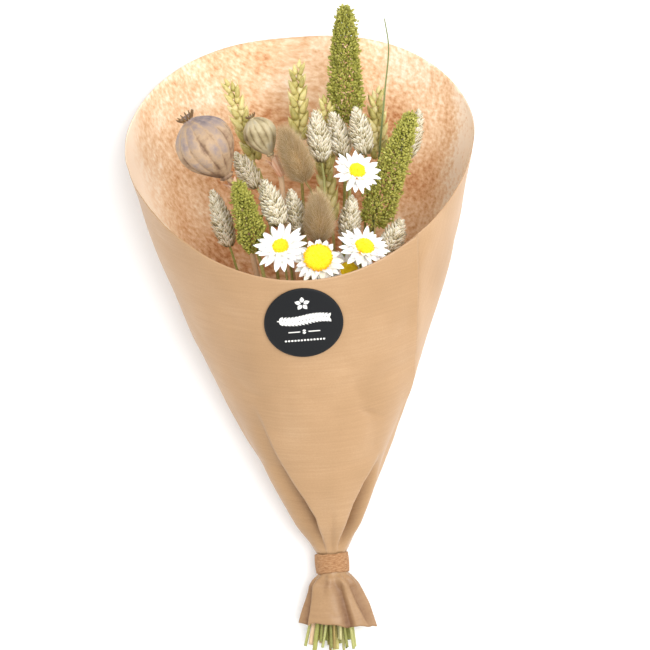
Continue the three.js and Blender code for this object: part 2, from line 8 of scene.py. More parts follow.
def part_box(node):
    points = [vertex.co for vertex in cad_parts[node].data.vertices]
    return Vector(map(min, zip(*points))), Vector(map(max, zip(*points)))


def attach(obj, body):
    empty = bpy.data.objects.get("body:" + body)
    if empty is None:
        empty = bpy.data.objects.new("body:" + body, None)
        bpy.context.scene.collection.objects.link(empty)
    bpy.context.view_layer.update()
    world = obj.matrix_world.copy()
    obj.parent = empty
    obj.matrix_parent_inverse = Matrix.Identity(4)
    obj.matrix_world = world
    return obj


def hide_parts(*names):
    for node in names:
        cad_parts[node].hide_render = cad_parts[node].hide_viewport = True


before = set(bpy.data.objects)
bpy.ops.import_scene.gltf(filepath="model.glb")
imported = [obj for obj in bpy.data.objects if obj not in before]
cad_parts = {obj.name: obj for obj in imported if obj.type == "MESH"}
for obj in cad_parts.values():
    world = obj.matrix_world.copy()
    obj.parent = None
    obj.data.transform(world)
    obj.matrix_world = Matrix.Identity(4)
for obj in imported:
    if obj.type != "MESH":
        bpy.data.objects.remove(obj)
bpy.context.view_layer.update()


# ---- Paper wrap ------------------------------------------
# One sheet of brown kraft paper, about 0.12 mm thick, rolled into a cone with its free edge lapped
# over the front right side. It is gathered into pleats at the tie and flares into a short skirt
# below it. Outside it is smooth with fine machine lines, inside it is mottled.
def linear(colour):
    channels = [int(colour[i:i + 2], 16) / 255 for i in (1, 3, 5)]
    steps = [c / 12.92 if c <= 0.04045 else ((c + 0.055) / 1.055) ** 2.4 for c in channels]
    return (*steps, 1.0)


def add(tree, kind, inputs=None, **settings):
    made = tree.nodes.new("ShaderNode" + kind)
    for key, value in settings.items():
        setattr(made, key, value)
    for key, value in (inputs or {}).items():
        if isinstance(value, bpy.types.NodeSocket):
            tree.links.new(value, made.inputs[key])
        else:
            made.inputs[key].default_value = value
    return made


def ramp(tree, factor, stops):
    made = add(tree, "ValToRGB", {"Fac": factor})
    elements = made.color_ramp.elements
    while len(elements) < len(stops):
        elements.new(0.5)
    for element, (place, colour) in zip(elements, stops):
        element.position = place
        element.color = linear(colour)
    return made.outputs["Color"]


def new_material(name, surface):
    """A material with the given surface settings, its nodes and its shader."""
    made = bpy.data.materials.new(name)
    made.use_nodes = True
    shader = made.node_tree.nodes["Principled BSDF"]
    for key, value in surface.items():
        shader.inputs[key].default_value = value
    return made, made.node_tree, shader


def clouds(tree, where, scale, detail, roughness=0.5):
    inputs = {"Vector": where, "Scale": scale, "Detail": detail, "Roughness": roughness}
    return add(tree, "TexNoise", inputs).outputs["Fac"]


def scaled(tree, value, factor, plus):
    return add(tree, "Math", {0: value, 1: factor, 2: plus}, operation="MULTIPLY_ADD").outputs[0]


def paint(tree, shader, tint, height, strength, depth):
    """Gives a surface its colour, and relief from a height."""
    tree.links.new(tint, shader.inputs["Base Color"])
    bump = add(tree, "Bump", {"Height": height, "Strength": strength, "Distance": depth})
    tree.links.new(bump.outputs["Normal"], shader.inputs["Normal"])


def mesh_piece(name, points, faces, materials, values=None, uv=None):
    """A mesh from points in millimetres, with per-point values and an optional flat map."""
    mesh = bpy.data.meshes.new(name)
    groups = [np.asarray(f, np.int32) for f in faces if len(f)]
    sizes = np.concatenate([np.full(len(f), f.shape[1], np.int32) for f in groups])
    corners = np.concatenate([f.ravel() for f in groups])
    mesh.vertices.add(len(points))
    mesh.vertices.foreach_set("co", (np.asarray(points, np.float32) * 0.001).ravel())
    mesh.loops.add(len(corners))
    mesh.loops.foreach_set("vertex_index", corners)
    mesh.polygons.add(len(sizes))
    mesh.polygons.foreach_set("loop_start", np.concatenate([[0], np.cumsum(sizes)[:-1]]).astype(np.int32))
    mesh.polygons.foreach_set("loop_total", sizes)
    mesh.polygons.foreach_set("use_smooth", np.ones(len(sizes), bool))
    for key, value in (values or {}).items():
        attribute = mesh.attributes.new(key, "FLOAT", "POINT")
        attribute.data.foreach_set("value", np.asarray(value, np.float32))
    if uv is not None:
        layer = mesh.uv_layers.new(name="flat")
        layer.data.foreach_set("uv", np.asarray(uv, np.float32)[corners].ravel())
    for material in materials:
        mesh.materials.append(material)
    mesh.update(calc_edges=True)
    mesh.validate()
    made = bpy.data.objects.new(name, mesh)
    bpy.context.scene.collection.objects.link(made)
    return made


def grid_faces(rows, columns, wrap=False):
    i, j = np.meshgrid(np.arange(rows - 1), np.arange(columns if wrap else columns - 1), indexing="ij")
    here, beside = i * columns + j, i * columns + (j + 1) % columns
    return np.stack([here, beside, beside + columns, here + columns], -1).reshape(-1, 4)


def ease(value, low, high):
    t = np.clip((value - low) / (high - low), 0, 1)
    return t * t * (3 - 2 * t)


band_low, band_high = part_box("tie_band")
tie_centre = np.array((band_low + band_high) / 2) * 1000
tie_outer = (band_high.x - band_low.x) * 500
tie_height = tie_centre[2]
neck = tie_outer - 1.7
neck_half = (band_high.y - band_low.y) * 500 + 0.6
cone_length, mouth_half, front_rise = 270, 114, 0.575
front_rim, back_rim = 189, 357
skirt_length, skirt_half, skirt_tall, skirt_flap = 42, 24.5, 10.5, 6
neck_top = tie_height + neck


def wrap_section(y):
    t = np.clip((y - neck_half) / (cone_length - neck_half), 0, 1)
    half = neck + (mouth_half - neck) * (t + 0.4 * t * (1 - t))
    half = half + 4 * (1 - np.exp(-np.maximum(0, y - cone_length) / 16))
    top = neck_top + front_rise * np.maximum(0, y - neck_half)
    bottom = (tie_height - neck) * (1 - ease(y, neck_half, 40))
    share = 0.5 - 0.08 * ease(y, neck_half, 60)
    middle = bottom + (top - bottom) * share
    s = np.clip((-neck_half - y) / (skirt_length - neck_half), 0, 1.3)
    below = y < -neck_half
    half = np.where(below, neck + (skirt_half - neck) * s * (1.45 - 0.45 * s), half)
    tall = neck + (skirt_tall - neck) * s
    top = np.where(below, tie_height + tall, top)
    bottom = np.where(below, tie_height - tall, bottom)
    middle = np.where(below, tie_height, middle)
    return half, top, bottom, middle, ease(y, 10, 90) * ~below


def wrap_face(angle, y, inward=0.0):
    half, top, bottom, middle, back = wrap_section(y)
    c, n = np.cos(angle), np.sin(angle)
    lower = n < 0
    power = np.where(lower, 2 / (2 + 0.7 * back), 1)
    tall = np.where(lower, (middle - bottom) * (1 + 0.06 * back), top - middle)
    pleat = 0.7 * ease(y, neck_half, 34) * (1 - ease(y, 34, 130))
    fold = 1 + (pleat * (np.cos(9 * angle + 0.6) - 1) - inward) / half
    x = half * fold * np.sign(c) * np.abs(c) ** power
    z = middle + tall * fold * np.sign(n) * np.abs(n) ** power
    return np.stack([x, y + 0 * x, z], -1)


def fold(x, y, path, depths, left, right):
    """A fold along a path of (distance, x) points: sharp or gentle on either side of its valley."""
    ys, xs = zip(*path)
    off = x - np.interp(y, ys, xs)
    side = np.where(off < 0, np.exp(-(off / left) ** 2), np.exp(-(off / right) ** 2))
    return np.interp(y, *zip(*depths)) * side


def free_edge(y):
    """Where the lapped edge of the sheet lies on the front right side."""
    straight_from, sweep = 140, 0.007
    above = np.maximum(y, straight_from)
    across = 62 + 0.08 * (above - 118)
    return np.arccos(across / wrap_section(above)[0]) - np.maximum(0, straight_from - y) * sweep


def rim_distance(angle):
    """Distance of the rim from the tie: long up the back wall, short on the front, lower at the corners."""
    corner_dip = 1.0
    middle, swing = (back_rim + front_rim) / 2, (back_rim - front_rim) / 2
    return middle - swing * np.sin(angle) - corner_dip * np.sin(2 * angle) ** 2


def row_distance(angle, row, skirt_rows, neck_rows, rows):
    flap = np.maximum(0, np.cos(angle - 0.35))
    ripple = 0.8 * np.sin(5 * angle + 1) + 0.5 * np.sin(11 * angle)
    end = -(skirt_length - 5 + skirt_flap * flap ** 2 + 3 * np.sin(angle) + ripple)
    share = 1 - row / skirt_rows
    skirt = -neck_half + share * (end + neck_half)
    inside = -neck_half + (row - skirt_rows) / neck_rows * 2 * neck_half
    up = np.clip((row - skirt_rows - neck_rows) / (rows - skirt_rows - neck_rows), 0, 1) ** 1.15
    cone = neck_half + up * (rim_distance(angle) - neck_half)
    above = np.where(row <= skirt_rows + neck_rows, inside, cone)
    return np.where(row < skirt_rows, skirt, above)


def paper_wrap():
    rows, skirt_rows, neck_rows, columns, lap = 170, 30, 8, 420, 0.62
    row, column = np.meshgrid(np.arange(rows + 1.0), np.linspace(0, 1, columns), indexing="ij")
    around = (1 - column) * (2 * math.pi + lap)
    angle = around + 0.6
    settling_steps = 12
    for _ in range(settling_steps):
        y = row_distance(angle, row, skirt_rows, neck_rows, rows)
        angle = 0.5 * angle + 0.5 * (free_edge(y) + around)
    y = row_distance(angle, row, skirt_rows, neck_rows, rows)
    half = wrap_section(y)[0]
    inward = 0.85 * (1 - column)
    near_edge = (1 - column) * (2 * math.pi + lap) * half
    inward -= 1.1 * np.exp(-near_edge / 7) * ease(y, 40, 120)
    x = wrap_face(angle, y)[..., 0]
    front, back = ease(np.sin(angle), 0.05, 0.3), ease(-np.sin(angle), 0.05, 0.3)
    puff = 1.5 * ease(y, 6, 8.5) + 7.0 * ease(y, 8, 29)
    puff *= (1 - ease(y, 45, 135)) * ease(np.sin(angle), 0.15, 0.8)
    creases = front * (
        fold(x, y, [(8, -4), (20, -6), (33, -8.5), (47, -14), (72, -27), (110, -44)],
               [(4, 0), (10, 1.4), (20, 6.4), (32, 10.0), (46, 8.6), (75, 3.6), (112, 0)], 6, 1.5)
        + fold(x, y, [(8, 4.5), (14, 6.5), (25, 10), (41, 16), (55, 23), (70, 34)],
               [(4, 0), (10, 1.6), (20, 7.6), (30, 11.0), (46, 10.6), (60, 6.0), (73, 0)], 1.7, 4.2)
        + fold(x, y, [(8, 0.5), (25, 1.5), (45, 3)], [(4, 0), (12, 1.2), (20, 1.6), (42, 0)], 1.6, 1.6)
        - fold(x, y, [(40, -6), (112, -10), (150, -13)], [(30, 0), (60, 1.4), (108, 2.6), (138, 0)], 11, 34)
        + fold(x, y, [(60, 30), (95, 35), (130, 24)], [(55, 0), (80, 2.2), (108, 2.0), (138, 0)], 7, 18)
        - fold(x, y, [(112, -22), (130, 24), (150, 60)], [(100, 0), (124, 1.1), (146, 0)], 16, 16)
        + fold(x, y, [(96, 42), (103, 30), (110, 18)], [(95, 0), (102, 1.0), (109, 0)], 5, 3)
        + fold(x, y, [(70, -42), (150, -60), (200, -70)], [(60, 0), (110, 2.0), (200, 0.6)], 10, 26)
        - fold(x, y, [(95, 60), (118, 62.5), (190, 69), (215, 80)],
               [(80, 0), (110, 1.8), (190, 1.5), (230, 0)], 4, 6))
    inward += creases - front * puff + back * sum(
        fold(x, y, [(8, 0.4 * at), (60, at), (150, 1.7 * at)], [(4, 0), (14, 1.8), (45, 1.6), (110, 0)], 3, 5)
        for at in (-31, -14, 3, 17, 34))
    skirt = ease(-y, neck_half, skirt_length)
    pinch = ease(-y, neck_half - 2, neck_half + 3) * (1 - ease(-y, neck_half + 3, neck_half + 17))
    inward += skirt * np.sin(5 * angle + 2) * (1 - front) - pinch * 0.9 * (1 + np.sin(11 * angle + 0.8))
    below = -y
    inward -= 4.4 * front * ease(below, 6, 15)
    skirt_creases = ease(below, neck_half - 1, neck_half + 6) * front * (
        fold(x, below, [(6, 2), (24, 6), (42, 10)], [(8, 0), (16, 3.4), (45, 6.4)], 5, 0.9)
        + fold(x, below, [(6, 7), (24, 13), (42, 20)], [(8, 0), (16, 2.8), (34, 3.2), (45, 1.0)], 1.8, 4)
        + fold(x, below, [(6, -10), (24, -15), (42, -19)], [(8, 0), (16, 2.8), (45, 5.0)], 3.5, 1.1)
        + fold(x, below, [(8, -3), (16, -5), (24, -6)], [(8, 0), (12, 1.6), (24, 0)], 1.4, 2.0)
        + fold(x, below, [(8, -8), (13, 0), (18, 6)], [(8, 0), (12, 0.9), (19, 0)], 4, 4))
    inward += skirt_creases
    place = wrap_face(angle, y, inward)
    flat = place.reshape(-1, 3)
    soft = np.array([
        noise.noise(Vector(p) * 0.018 + Vector((3, 7, 1))) * 1.5
        + abs(noise.noise(Vector(p) * 0.026 + Vector((9, 2, 5)))) * 1.5
        + abs(noise.noise(Vector(p) * 0.11 + Vector((1, 4, 2)))) * (0.7 if p[1] < -neck_half else 0.12)
        for p in flat
    ]).reshape(y.shape)
    open_part = ease(y, 20, 90) + 0.9 * skirt
    middle = np.stack([0 * y, y, wrap_section(y)[3]], -1)
    out = place - middle
    out /= np.maximum(1e-6, np.linalg.norm(out, axis=-1, keepdims=True))
    low_part = np.clip(-np.sin(angle), 0, 1)
    place = place + out * ((soft - 0.7) * open_part * (1 - 0.85 * low_part))[..., None]
    floor = 0.45 - 0.3 * column
    above = place[..., 2] - floor
    place[..., 2] = floor + 0.5 * (above + np.sqrt(above ** 2 + 4 * ease(y, 90, 200)))
    place += np.array([tie_centre[0], tie_centre[1], 0])
    reach = np.hypot(y + 60, half)
    swing = (angle - math.pi / 2) * 0.33
    flat_map = np.stack([reach * np.sin(swing), reach * np.cos(swing)], -1).reshape(-1, 2)
    # Painted light inside the left rim: there the blotches of the inner face give way to an even, lighter
    # tone.
    turned = np.angle(np.exp(1j * (angle - math.pi)))
    painted_rim_light = np.exp(-(turned / 0.5) ** 4) * ease(y, 180, 215)
    # Painted light and shade of the inner face: much paler on the steep side walls, paler low down and at the
    # top of the back wall, darker between.
    steep = np.abs(np.cos(angle)) ** 3 * ease(y, 130, 220)
    painted_wall_light_and_shade = np.interp(y, [150, 225, 280, 335], [0.07, -0.08, -0.05, 0.13]) * (1 - steep) + 0.42 * steep
    # Painted shade: darker in the valleys of the folds, by their depth, and all over the skirt below the tie.
    painted_fold_shade = np.clip(creases / 9, 0, 1) + np.clip(skirt_creases / 4, 0, 1) + 0.55 * ease(-y, 4, 9)
    values = {"painted_rim_light": painted_rim_light.ravel(), "painted_wall_light_and_shade": painted_wall_light_and_shade.ravel(), "painted_fold_shade": painted_fold_shade.ravel()}
    return mesh_piece("kraft_wrap", place.reshape(-1, 3), [grid_faces(rows + 1, columns)],
                      [kraft_outside, kraft_inside], values, flat_map)


# Kraft paper, outer face: machine-finished, satin, with fine parallel lines and faint flecks. Painted shade
# is laid into the valleys of the folds and over the skirt below the tie.
kraft_outside, tree, shader = new_material("kraft_paper_outer_face", {"Roughness": 0.42, "IOR": 1.45})
flat_map = add(tree, "UVMap", uv_map="flat").outputs["UV"]
lines = add(tree, "Mapping", {"Vector": flat_map, "Scale": (0.03, 0.75, 1)}).outputs["Vector"]
painted_fold_shade = add(tree, "Attribute", attribute_name="painted_fold_shade").outputs["Fac"]
mixed = scaled(tree, clouds(tree, lines, 1.0, 3.0), 0.13, 0.185)
mixed = scaled(tree, clouds(tree, flat_map, 0.018, 3.0), 0.3, mixed)
mixed = scaled(tree, clouds(tree, flat_map, 0.9, 4.0, 0.65), 0.16, mixed)
# The painted shade of the folds and the skirt darkens the paper here.
mixed = scaled(tree, painted_fold_shade, -0.26, mixed)
kraft_browns = [(0.0, "#6f4a2b"), (0.38, "#a7845e"), (0.48, "#b28e68"), (0.58, "#be9b76")]
paint(tree, shader, ramp(tree, mixed, kraft_browns), mixed, 0.1, 0.0002)

# Kraft paper, inner face: uncoated, blotched where the pulp is thin, with soft upright streaks. Painted light
# makes the side walls, the lower part and the top of the back wall paler, painted shade darkens the wall
# partway up, and inside the left rim painted light evens the blotches out to a lighter tone.
kraft_inside, tree, shader = new_material("kraft_paper_inner_face", {"Roughness": 0.8, "IOR": 1.45})
flat_map = add(tree, "UVMap", uv_map="flat").outputs["UV"]
stretch = add(tree, "Mapping", {"Vector": flat_map, "Scale": (0.36, 0.22, 1)}).outputs["Vector"]
blots = clouds(tree, stretch, 1.0, 5.0, 0.6)
broad = scaled(tree, clouds(tree, flat_map, 0.03, 3.0), 0.8, -0.4)
painted_rim_light = add(tree, "Attribute", attribute_name="painted_rim_light").outputs["Fac"]
painted_wall_light_and_shade = add(tree, "Attribute", attribute_name="painted_wall_light_and_shade").outputs["Fac"]
mixed = add(tree, "Math", {0: blots, 1: broad}, operation="ADD").outputs[0]
# Painted light inside the left rim evens out the blotches.
mixed = add(tree, "Mix", {0: painted_rim_light, 2: mixed, 3: 0.56}, data_type="FLOAT").outputs[0]
# The painted light and shade of the inner walls shifts the tone here.
mixed = add(tree, "Math", {0: mixed, 1: painted_wall_light_and_shade}, operation="ADD").outputs[0]
pulp_browns = [(0.2, "#a3602f"), (0.36, "#c4885a"), (0.5, "#dbab80"), (0.7, "#eecba6"), (0.9, "#fdead4")]
paint(tree, shader, ramp(tree, mixed, pulp_browns), blots, 0.12, 0.0003)


def thicken(made, name, thickness, offset):
    """Gives a sheet its thickness in metres; the offset says to which side it grows."""
    solid = made.modifiers.new(name, "SOLIDIFY")
    solid.thickness = thickness
    solid.offset = offset
    return solid


wrap = paper_wrap()
paper = thicken(wrap, "paper_thickness", 0.00025, -1)
paper.material_offset = 1
paper.material_offset_rim = 0
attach(wrap, "root")
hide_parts("paper_wrap")


# ---- Tie -------------------------------------------------
# A strip of fibrous brown paper ribbon, 13 mm wide, wound twice round the neck of the wrap, with
# its free end pressed flat over the turn below.
def ribbon():
    rows, columns, turns = 25, 260, 2.15
    across, along = np.meshgrid(np.linspace(-1, 1, rows), np.linspace(0, 1, columns), indexing="ij")
    angle = 1.9 + along * turns * 2 * math.pi
    wave = np.array([noise.noise(Vector((math.cos(a) * 2.2, math.sin(a) * 2.2, 4 + w * 0.5)))
                     for a, w in zip(angle.ravel(), across.ravel())]).reshape(angle.shape)
    radius = neck + 0.35 + 0.75 * along + 0.35 * wave + 0.3 * (1 - across ** 2)
    shift = 0.5 * np.sin(angle + 0.4) + 0.5 * along
    width = 6.3 + 0.25 * np.sin(3 * angle) + 0.15 * np.sin(8 * angle)
    points = np.stack([radius * np.cos(angle), shift + width * across, radius * np.sin(angle)], -1)
    points += tie_centre
    points[..., 2] = np.maximum(points[..., 2], 0.3)
    flat_map = np.stack([along * turns * 2 * math.pi * 11, across * 6.5], -1).reshape(-1, 2)
    return mesh_piece("ribbon_tie", points.reshape(-1, 3), [grid_faces(rows, columns)],
                      [ribbon_paper], None, flat_map)


# Ribbon: coarse unbleached paper with long fibres that run along the strip.
ribbon_paper, tree, shader = new_material("fibrous_paper_ribbon", {"Roughness": 0.85})
flat_map = add(tree, "UVMap", uv_map="flat").outputs["UV"]
stretch = add(tree, "Mapping", {"Vector": flat_map, "Scale": (0.35, 1.6, 1)}).outputs["Vector"]
fibre = clouds(tree, stretch, 1.0, 6.0, 0.7)
ribbon_browns = [(0.35, "#7f5532"), (0.5, "#a3774f"), (0.68, "#bb946d")]
paint(tree, shader, ramp(tree, fibre, ribbon_browns), fibre, 0.6, 0.0005)

tie = ribbon()
thicken(tie, "ribbon_thickness", 0.0003, 0)
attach(tie, "root")
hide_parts("tie_band")


# ---- Label -----------------------------------------------
# A round black paper sticker, 50 mm across, on the front wall. Its print is a plain white
# ornament: a small flower, a leafy sprig, a rule with a diamond and a row of dots.
label_radius, label_x, label_y = 25, -6, 163


def on_front_wall(u, v, lift):
    """A point of the label's plane, u to the right and v towards the flowers, laid on the wall."""
    slope = math.atan(front_rise)
    x, y = label_x + u, label_y + v * math.cos(slope)
    half, top, _, middle, _ = wrap_section(y)
    z = middle + (top - middle) * np.sqrt(np.clip(1 - (x / half) ** 2, 0, 1))
    tilt = -(top - middle) * x / half ** 2 / np.sqrt(np.clip(1 - (x / half) ** 2, 0.05, 1))
    away = np.stack([-tilt, np.full_like(z, -front_rise), np.ones_like(z)], -1)
    away /= np.linalg.norm(away, axis=-1, keepdims=True)
    place = np.stack([x, y, z], -1) + away * np.asarray(lift)[..., None]
    return place + np.array([tie_centre[0], tie_centre[1], 0])


def round_grid(rows, sides, first=0.0):
    """Shares up to 1 along the rows and angles all the way round."""
    angles = np.arange(sides) * 2 * math.pi / sides
    return np.meshgrid(np.linspace(first, 1, rows), angles, indexing="ij")


def disc(radius, rings, sides, centre=(0, 0)):
    ring, side = round_grid(rings, sides, 0.0001)
    return centre[0] + ring * radius * np.cos(side), centre[1] + ring * radius * np.sin(side), ring


# Label paper: near-black and matt with a faint grain, so that the white print stands out.
label_paper, tree, shader = new_material("black_label_paper", {"Roughness": 0.6, "Specular IOR Level": 0.3})
grain = add(tree, "TexNoise", {"Scale": 900.0, "Detail": 3.0}).outputs["Fac"]
tree.links.new(ramp(tree, grain, [(0.3, "#0b0c0e"), (0.7, "#15171a")]), shader.inputs["Base Color"])

sticker_lift, print_lift = 1.0, 1.06
u, v, ring = disc(label_radius, 24, 96)
lift = sticker_lift - 0.25 * ease(ring, 0.985, 1.0)
sticker = mesh_piece("label_sticker", on_front_wall(u, v, lift).reshape(-1, 3),
                     [grid_faces(24, 96, wrap=True)[:, ::-1]], [label_paper])
thicken(sticker, "label_thickness", 0.0004, -1)
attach(sticker, "root")
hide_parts("round_label")

# Print: matt white ink.
white_ink = new_material("white_label_ink", {"Base Color": linear("#f1efe9"), "Roughness": 0.6})[0]


def leaf(x, y, turn, length, width):
    """A small pointed leaf as rows of points across its width."""
    t, s = np.meshgrid(np.linspace(0, 1, 9), np.linspace(-1, 1, 5), indexing="ij")
    along, across = t * length, s * width * np.sin(math.pi * t ** 0.85) * 0.5
    return (x + along * math.cos(turn) - across * math.sin(turn),
            y + along * math.sin(turn) + across * math.cos(turn))


def stroke(points, width):
    points = np.asarray(points, float)
    way = np.gradient(points, axis=0)
    way /= np.linalg.norm(way, axis=1, keepdims=True)
    side = np.stack([-way[:, 1], way[:, 0]], -1)
    s = np.linspace(-0.5, 0.5, 3)
    place = points[:, None, :] + side[:, None, :] * (s[None, :, None] * width)
    return place[..., 0], place[..., 1]


def ornament():
    shapes = []
    for k in range(5):
        turn = math.pi / 2 + k * 2 * math.pi / 5
        shapes.append(leaf(math.cos(turn) * 0.9, 14 + math.sin(turn) * 0.9, turn, 4.0, 2.8))
    t = np.linspace(-1, 1, 60)
    stem = np.stack([t * 16.5, 2.6 + 1.0 * np.sin(t * 3.1)], -1)
    shapes.append(stroke(stem, 0.75))
    for k in range(-7, 8):
        x = k * 2.15
        y = 2.6 + 1.0 * math.sin(x / 16.5 * 3.1)
        for side in (1, -1):
            shapes.append(leaf(x, y, side * 0.95, 4.8 - 0.12 * abs(k), 2.1))
    for side in (1, -1):
        rule = np.stack([side * np.linspace(2.6, 10, 20), np.full(20, -6.2)], -1)
        shapes.append(stroke(rule, 0.7))
        shapes.append(leaf(0, -6.2, side * math.pi / 2, 1.7, 2.2))
    for k in range(-6, 7):
        u, v, _ = disc(0.7, 3, 12, (k * 2.0, -12.4))
        shapes.append((u, v))
    points, faces, count = [], [], 0
    for u, v in shapes:
        rows, columns = u.shape
        points.append(on_front_wall(u, v, np.full(u.shape, print_lift)).reshape(-1, 3))
        faces.append(grid_faces(rows, columns, wrap=columns == 12) + count)
        count += rows * columns
    return np.concatenate(points), [np.concatenate(faces)]


points, faces = ornament()
printing = mesh_piece("label_ornament", points, faces, [white_ink])
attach(printing, "root")


# ---- Stems -----------------------------------------------
# Thin dried stems, round or faintly ribbed, with a swollen joint every few centimetres on the
# grasses. They are cut square below the tie, and the cut shows a pale wall round a darker pith.
def centre_line(node):
    """Middle of each ring of a stem's solid, from the cut end to the neck of its head."""
    left = [np.array(v.co) * 1000 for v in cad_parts[node].data.vertices]
    left.sort(key=lambda p: p[1])
    rings = []
    for p in left:
        home = [r for r in rings if np.linalg.norm(np.mean(r, axis=0) - p) < 4.4]
        if home:
            home[0].append(p)
        else:
            rings.append([p])
    middles = []
    for r in rings:
        kept = np.unique(np.round(r, 2), axis=0)
        middles.append((kept.min(axis=0) + kept.max(axis=0)) / 2 if len(kept) > 7 else kept.mean(axis=0))
    line = [middles.pop(0)]
    while middles:
        nearest = min(range(len(middles)), key=lambda i: np.linalg.norm(middles[i] - line[-1]))
        line.append(middles.pop(nearest))
    return np.array(line)


def smooth_line(points, step):
    """A Catmull-Rom curve through the points, stepped evenly."""
    padded = np.vstack([2 * points[0] - points[1], points, 2 * points[-1] - points[-2]])
    out = []
    for a, b, c, d in zip(padded, padded[1:], padded[2:], padded[3:]):
        count = max(2, int(np.linalg.norm(c - b) / step))
        t = (np.arange(count) / count)[:, None]
        bend = (2 * a - 5 * b + 4 * c - d) * t ** 2 + (3 * b - a - 3 * c + d) * t ** 3
        out.append(0.5 * (2 * b + (c - a) * t + bend))
    return np.vstack([*out, points[-1:]])


def frames_along(line):
    """Two steady cross directions at each point of a line."""
    way = np.gradient(line, axis=0)
    way /= np.linalg.norm(way, axis=1, keepdims=True)
    side = np.cross(way, (0.0, 0.0, 1.0))
    side /= np.maximum(1e-6, np.linalg.norm(side, axis=1, keepdims=True))
    return way, side, np.cross(side, way)


def cut_tube(line, radii, sides, tones):
    """A tube whose first rings share the direction of its cut end."""
    _, side, up = frames_along(line[4:])
    side = np.vstack([np.repeat(side[:1], 4, axis=0), side])
    up = np.vstack([np.repeat(up[:1], 4, axis=0), up])
    angle = np.arange(sides) * 2 * math.pi / sides
    ring = np.cos(angle)[None, :, None] * side[:, None, :] + np.sin(angle)[None, :, None] * up[:, None, :]
    points = line[:, None, :] + ring * np.asarray(radii)[:, None, None]
    return points.reshape(-1, 3), grid_faces(len(line), sides, wrap=True), np.repeat(tones, sides)


def plant_material(name, stops, roughness=0.7, grain=700.0, soft=0.0, spread=0.5, bumpiness=0.3):
    """Dried plant matter: each grain, scale or hair has its own tone, broken up by fine mottling."""
    made, tree, shader = new_material(name, {
        "Roughness": roughness, "Subsurface Weight": soft, "Subsurface Radius": (0.002, 0.0015, 0.001),
        "Subsurface Scale": 0.5})
    tone = add(tree, "Attribute", attribute_name="tone").outputs["Fac"]
    mottle = clouds(tree, add(tree, "TexCoord").outputs["Object"], grain, 4.0, 0.6)
    shifted = scaled(tree, mottle, spread, -spread / 2)
    mixed = add(tree, "Math", {0: tone, 1: shifted}, operation="ADD").outputs[0]
    paint(tree, shader, ramp(tree, mixed, stops), mottle, bumpiness, 0.0003)
    return made


# Stem skins: straw, olive and tan, each from its darkest joints to its palest stretch.
stem_kinds = {  # skin's name, its tones, radius in mm, share of the way up of each joint
    "foxtail": ("foxtail_stem_skin", ("#4f5220", "#7b7d38", "#a3a257", "#d7cf9a"), 1.5, (0.3, 0.62)),
    "wheat": ("wheat_straw", ("#6f6630", "#a39a52", "#c9bd78", "#e8deb0"), 1.3, (0.22, 0.55)),
    "poppy": ("poppy_stem_skin", ("#7f5f40", "#b08a62", "#c29c76", "#d9bc98"), 1.9, ()),
    "bunny_tail": ("bunny_tail_stem_skin", ("#74602f", "#a38d52", "#c4ae76", "#e4d6ac"), 0.9, (0.4,)),
    "canary_grass": ("canary_grass_stem_skin", ("#616427", "#92944a", "#b9b878", "#dfdab0"),
                     1.0, (0.28, 0.6)),
    "daisy": ("daisy_stem_skin", ("#5b5d2a", "#8c8c48", "#b4ae72", "#d9d2a6"), 0.95, ()),
}
stem_skins = {kind: plant_material(skin, list(zip((0.0, 0.35, 0.65, 1.0), tones)))
              for kind, (skin, tones, _, _) in stem_kinds.items()}


def stem_of(kind, number):
    """Makes the numbered stem and returns where its head starts and which way it points."""
    node, slot_name = f"{kind}_{number}_stem", f"{kind}_stem"
    _, _, radius, joints = stem_kinds[kind]
    taper = 0.9 if kind == "poppy" else 0.72
    rng = np.random.default_rng(sum(map(ord, kind)) + 17 * number)
    line = smooth_line(centre_line(node), 2.2)
    travel = np.concatenate([[0], np.cumsum(np.linalg.norm(np.diff(line, axis=0), axis=1))])
    share = travel / travel[-1]
    radii = radius * (1.02 - (1 - taper) * share)
    tones = 0.5 + 0.25 * np.sin(travel * 0.021 + rng.uniform(0, 6)) + rng.uniform(-0.18, 0.18)
    for at in joints:
        near = np.exp(-((share - at) * travel[-1] / 1.6) ** 2)
        radii = radii * (1 + 0.32 * near)
        tones = tones - 0.45 * near
    way = (line[0] - line[1]) / np.linalg.norm(line[0] - line[1])
    cut = np.stack([line[0] - way * 0.9, line[0] - way * 0.15, line[0]])
    line = np.vstack([cut, line[0] + way * 0.001, line])
    radii = np.concatenate([[0.02, radius * 0.55, radius * 0.62, radius * 0.98], radii])
    tones = np.concatenate([[-0.4, -0.2, 1.25, 1.1], tones])
    points, faces, tone = cut_tube(line, radii, 10, tones)
    made = mesh_piece(f"{kind}_{number}_stalk", points, [faces], [stem_skins[kind]], {"tone": tone})
    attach(made, "root")
    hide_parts(node)
    return line[-1], (line[-1] - line[-6]) / np.linalg.norm(line[-1] - line[-6])


# ---- Wheat -----------------------------------------------
# Green-gold ears, about 60 mm long and 10 mm wide: fat spikelets in two ranks that step up the
# ear from side to side, each of five pointed husks, some with a short beak.
def head_frame(kind, number):
    """Start, axes, length and radius of a head: the third axis points from its neck to its tip."""
    start, way = stem_of(kind, number)
    solid = np.array([v.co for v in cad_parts[f"{kind}_{number}_head"].data.vertices]) * 1000
    reach = (solid - start) @ way
    away = np.linalg.norm((solid - start) - reach[:, None] * way, axis=1)
    side = np.cross(way, (0.0, 0.0, 1.0) if abs(way[2]) < 0.9 else (0.0, 1.0, 0.0))
    side /= np.linalg.norm(side)
    axes = np.stack([side, np.cross(way, side), way])
    return start, axes, reach.max(), away.max()


